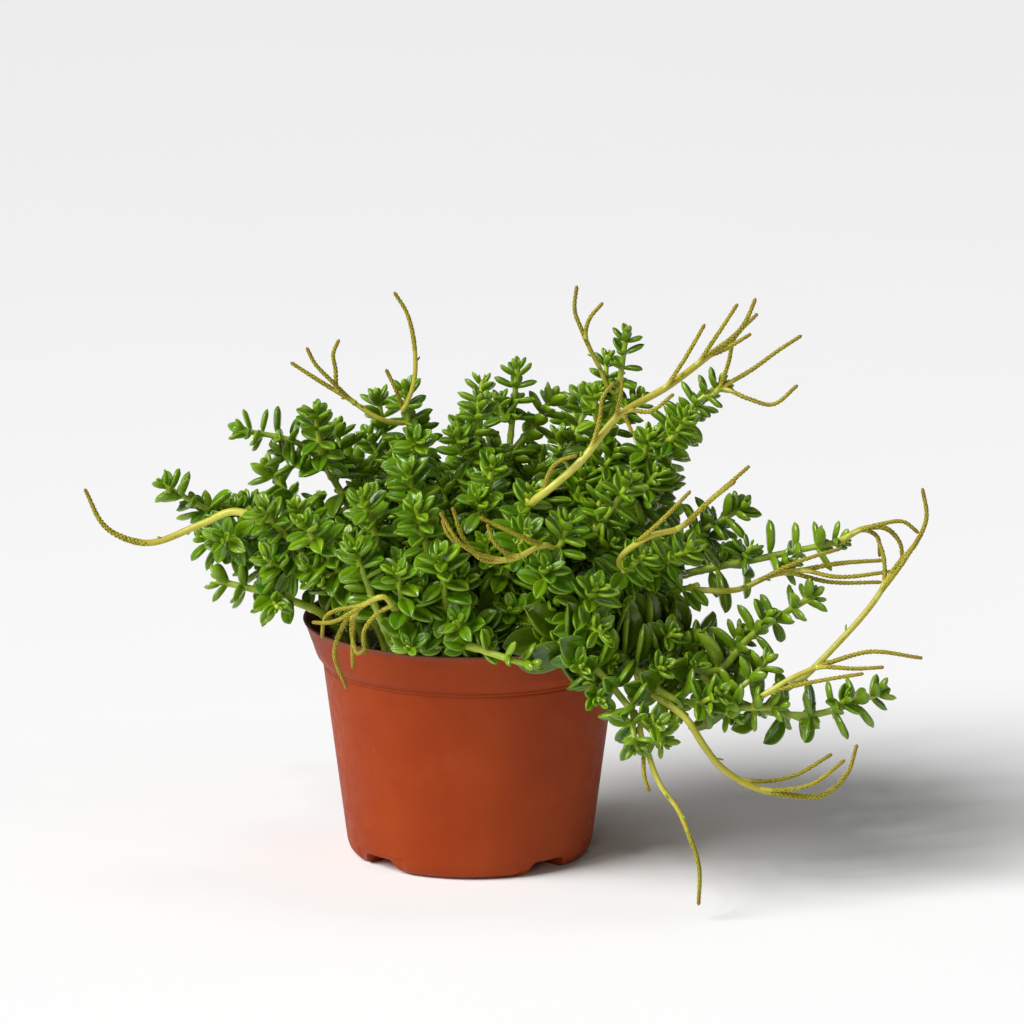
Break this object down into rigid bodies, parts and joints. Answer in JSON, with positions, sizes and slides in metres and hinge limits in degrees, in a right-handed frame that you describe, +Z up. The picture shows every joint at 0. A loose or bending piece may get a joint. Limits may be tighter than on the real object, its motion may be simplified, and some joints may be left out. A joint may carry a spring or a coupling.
{
  "type": "potted peperomia",
  "caption": "Trailing folded-leaf peperomia with glossy green leaves and forked flower spikes, growing in a terracotta-coloured plastic nursery pot.",
  "frame": {"origin": "centre of the pot's flat foot, on the surface it stands on, on the pot's axis", "axes": "+Z up along the pot's axis, +X towards the side where the long flowering stems trail, -Y towards the side with the stem that hangs over the rim"},
  "size_m": [0.4137, 0.2565, 0.2965],
  "materials": {
    "pot_plastic": "satin",
    "compost": "matte",
    "leaf": "gloss",
    "flower_stalk": "satin"
  },
  "bodies": {
    "root": {"pot": "pot_plastic", "potting_soil": "compost", "leafy_stem_01": "leaf", "leafy_stem_02": "leaf", "leafy_stem_03": "leaf", "leafy_stem_04": "leaf", "leafy_stem_05": "leaf", "leafy_stem_06": "leaf", "leafy_stem_07": "leaf", "leafy_stem_08": "leaf", "leafy_stem_09": "leaf", "leafy_stem_10": "leaf", "leafy_stem_11": "leaf", "leafy_stem_12": "leaf", "leafy_stem_13": "leaf", "leafy_stem_14": "leaf", "leafy_stem_15": "leaf", "leafy_stem_16": "leaf", "leafy_stem_17": "leaf", "leafy_stem_18": "leaf", "leafy_stem_19": "leaf", "leafy_stem_20": "leaf", "leafy_stem_21": "leaf", "leafy_stem_22": "leaf", "leafy_stem_23": "leaf", "leafy_stem_24": "leaf", "leafy_stem_25": "leaf", "leafy_stem_26": "leaf", "leafy_stem_27": "leaf", "leafy_stem_28": "leaf", "leafy_stem_29": "leaf", "leafy_stem_30": "leaf", "leafy_stem_31": "leaf", "leafy_stem_32": "leaf", "leafy_stem_33": "leaf", "leafy_stem_34": "leaf", "leafy_stem_35": "leaf", "leafy_stem_36": "leaf", "leafy_stem_37": "leaf", "leafy_stem_38": "leaf", "leafy_stem_39": "leaf", "leafy_stem_40": "leaf", "flower_stalk_01": "flower_stalk", "flower_stalk_02": "flower_stalk", "flower_stalk_03": "flower_stalk", "flower_stalk_04": "flower_stalk", "flower_stalk_05": "flower_stalk", "flower_stalk_06": "flower_stalk", "flower_stalk_07": "flower_stalk", "flower_stalk_08": "flower_stalk", "flower_stalk_09": "flower_stalk", "flower_stalk_10": "flower_stalk", "flower_stalk_11": "flower_stalk", "flower_stalk_12": "flower_stalk", "flower_stalk_13": "flower_stalk", "flower_stalk_14": "flower_stalk", "flower_stalk_15": "flower_stalk", "flower_stalk_16": "flower_stalk", "flower_stalk_17": "flower_stalk"}
  },
  "joints": []
}
